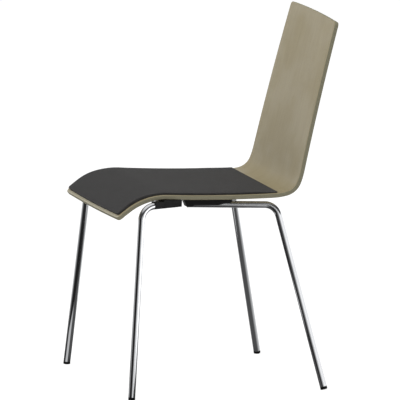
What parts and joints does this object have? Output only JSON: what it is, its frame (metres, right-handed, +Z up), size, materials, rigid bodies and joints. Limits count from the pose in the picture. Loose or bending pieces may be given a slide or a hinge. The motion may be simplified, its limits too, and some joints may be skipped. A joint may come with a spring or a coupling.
{
  "type": "visitor chair",
  "caption": "Visitor chair with an L-shaped bent plywood shell, a thin upholstered seat pad and splayed bent chrome tube legs on small plastic glides",
  "frame": {"origin": "On the floor, at the middle of the chair's overall width and depth.", "axes": "+Z is up. -Y is the front, where the sitter's knees are. +X is the sitter's left side."},
  "size_m": [0.5206, 0.5479, 0.8439],
  "materials": {
    "veneer": "grey-beige stained veneer with fine straight grain, satin lacquer",
    "pad_fabric": "charcoal woven wool-blend upholstery, dull",
    "pad_foam": "cut polyurethane foam, porous, hidden",
    "chrome_tube": "bright chrome plating",
    "black_plastic": "black moulded plastic, satin",
    "zinc_steel": "zinc plated steel"
  },
  "bodies": {
    "root": {"shell": "veneer", "pad_foam": "pad_foam", "pad_cover": "pad_fabric", "front_left_leg": "chrome_tube", "front_right_leg": "chrome_tube", "rear_left_leg": "chrome_tube", "rear_right_leg": "chrome_tube", "front_left_glide": "black_plastic", "front_right_glide": "black_plastic", "rear_left_glide": "black_plastic", "rear_right_glide": "black_plastic", "front_left_plug": "black_plastic", "front_right_plug": "black_plastic", "rear_left_plug": "black_plastic", "rear_right_plug": "black_plastic", "front_left_saddle": "black_plastic", "front_right_saddle": "black_plastic", "rear_left_saddle": "black_plastic", "rear_right_saddle": "black_plastic", "rear_left_lug": "zinc_steel", "rear_right_lug": "zinc_steel", "front_strap": "zinc_steel", "rear_strap": "zinc_steel", "strap_bushes": "black_plastic", "frame_screws": "zinc_steel", "shell_inserts": "zinc_steel"}
  },
  "joints": []
}
